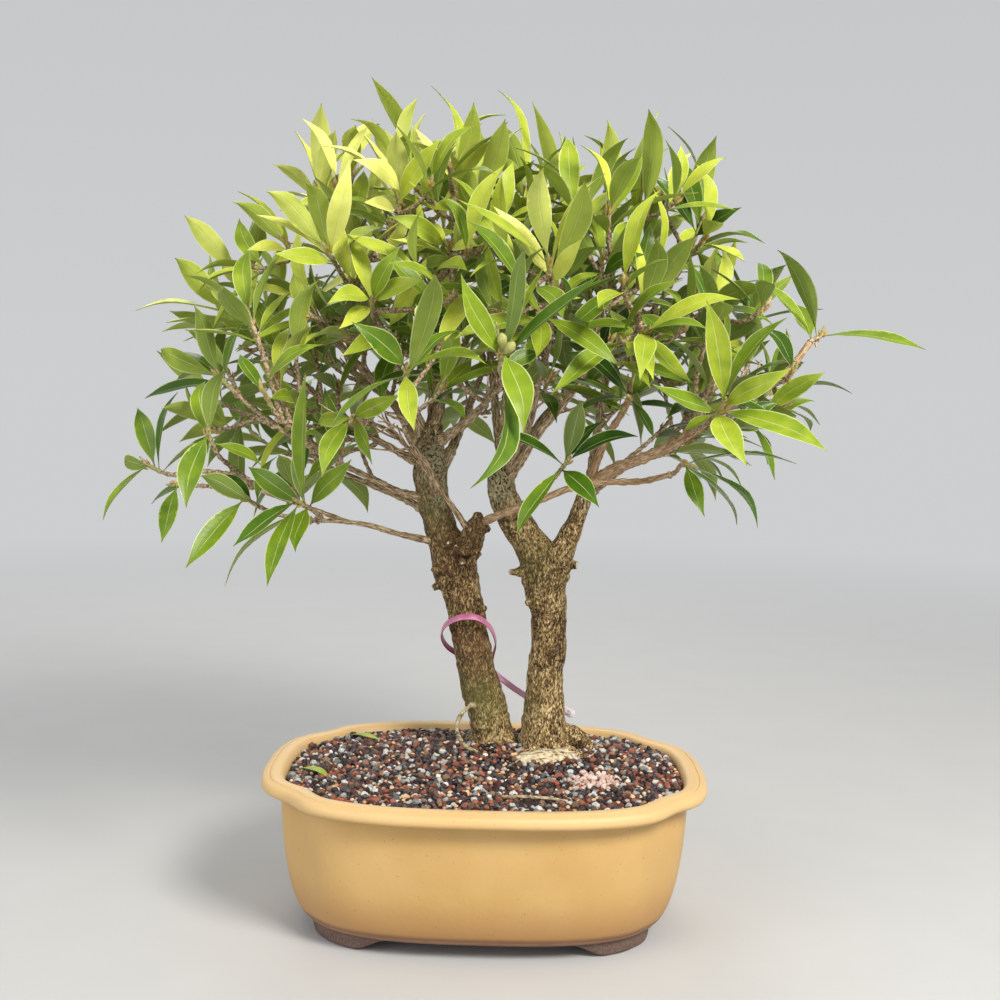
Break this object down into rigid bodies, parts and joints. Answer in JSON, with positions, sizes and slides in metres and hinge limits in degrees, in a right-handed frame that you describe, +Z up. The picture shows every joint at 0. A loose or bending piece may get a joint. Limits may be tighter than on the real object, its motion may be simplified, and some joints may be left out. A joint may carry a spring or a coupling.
{
  "type": "twin trunk bonsai tree in a pot",
  "caption": "Twin trunk willow leaf fig bonsai with a broad crown of long narrow leaves, in a lobed oval glazed pot on low corner feet.",
  "frame": {"origin": "the middle of the bottom of the whole object's box, on the floor that the feet stand on", "axes": "+Z up, +X along the pot's long side to the viewer's right, +Y away from the front that the picture shows"},
  "size_m": [0.441, 0.348, 0.4807],
  "materials": {
    "glazed_clay": "satin",
    "grit": "matte",
    "bark": "matte",
    "strap_plastic": "satin",
    "screen_plastic": "matte",
    "leaf_deep": "satin",
    "leaf_mid": "satin",
    "leaf_young": "satin"
  },
  "bodies": {
    "root": {"drain_screen_left": "screen_plastic", "drain_screen_right": "screen_plastic", "fallen_leaf_back": "leaf_mid", "fallen_leaf_left": "leaf_mid", "fallen_twig": "bark", "pot": "glazed_clay", "soil": "grit", "spray_back_far_left": "leaf_mid", "spray_back_left_drop": "leaf_young", "spray_back_left_mid": "leaf_deep", "spray_back_left_near": "leaf_young", "spray_back_left_top": "leaf_mid", "spray_back_mid_high": "leaf_mid", "spray_back_mid_low": "leaf_deep", "spray_back_mid_right": "leaf_young", "spray_back_right_drop": "leaf_young", "spray_back_right_end": "leaf_mid", "spray_back_right_mid": "leaf_young", "spray_back_right_side": "leaf_deep", "spray_back_right_top": "leaf_deep", "spray_back_top_left": "leaf_deep", "spray_back_top_right": "leaf_mid", "spray_centre_left_near": "leaf_mid", "spray_centre_left_top": "leaf_deep", "spray_centre_near": "leaf_young", "spray_centre_right_low": "leaf_deep", "spray_far_left_drop": "leaf_mid", "spray_far_left_tip": "leaf_deep", "spray_left_arm": "leaf_deep", "spray_left_centre_inner": "leaf_mid", "spray_left_crown_front": "leaf_mid", "spray_left_crown_side": "leaf_young", "spray_left_crown_tip": "leaf_deep", "spray_left_fan_tip": "leaf_mid", "spray_left_fan_top": "leaf_young", "spray_left_inner": "leaf_deep", "spray_left_low_big": "leaf_mid", "spray_left_low_near": "leaf_young", "spray_left_mid_near": "leaf_deep", "spray_left_near_drop": "leaf_young", "spray_right_centre_inner": "leaf_young", "spray_right_end": "leaf_mid", "spray_right_end_low": "leaf_young", "spray_right_inner": "leaf_young", "spray_right_low_tip": "leaf_mid", "spray_right_mid_near": "leaf_mid", "spray_right_near": "leaf_deep", "spray_right_side_tip": "leaf_young", "spray_right_top_tip": "leaf_deep", "spray_top_centre": "leaf_deep", "spray_top_centre_front": "leaf_mid", "spray_top_centre_right": "leaf_young", "spray_top_left": "leaf_mid", "spray_top_left_centre": "leaf_young", "spray_top_left_front": "leaf_young", "spray_top_left_second": "leaf_deep", "spray_top_right_mid": "leaf_mid", "spray_top_right_pale": "leaf_deep", "tag_strap": "strap_plastic", "wood": "bark"}
  },
  "joints": []
}
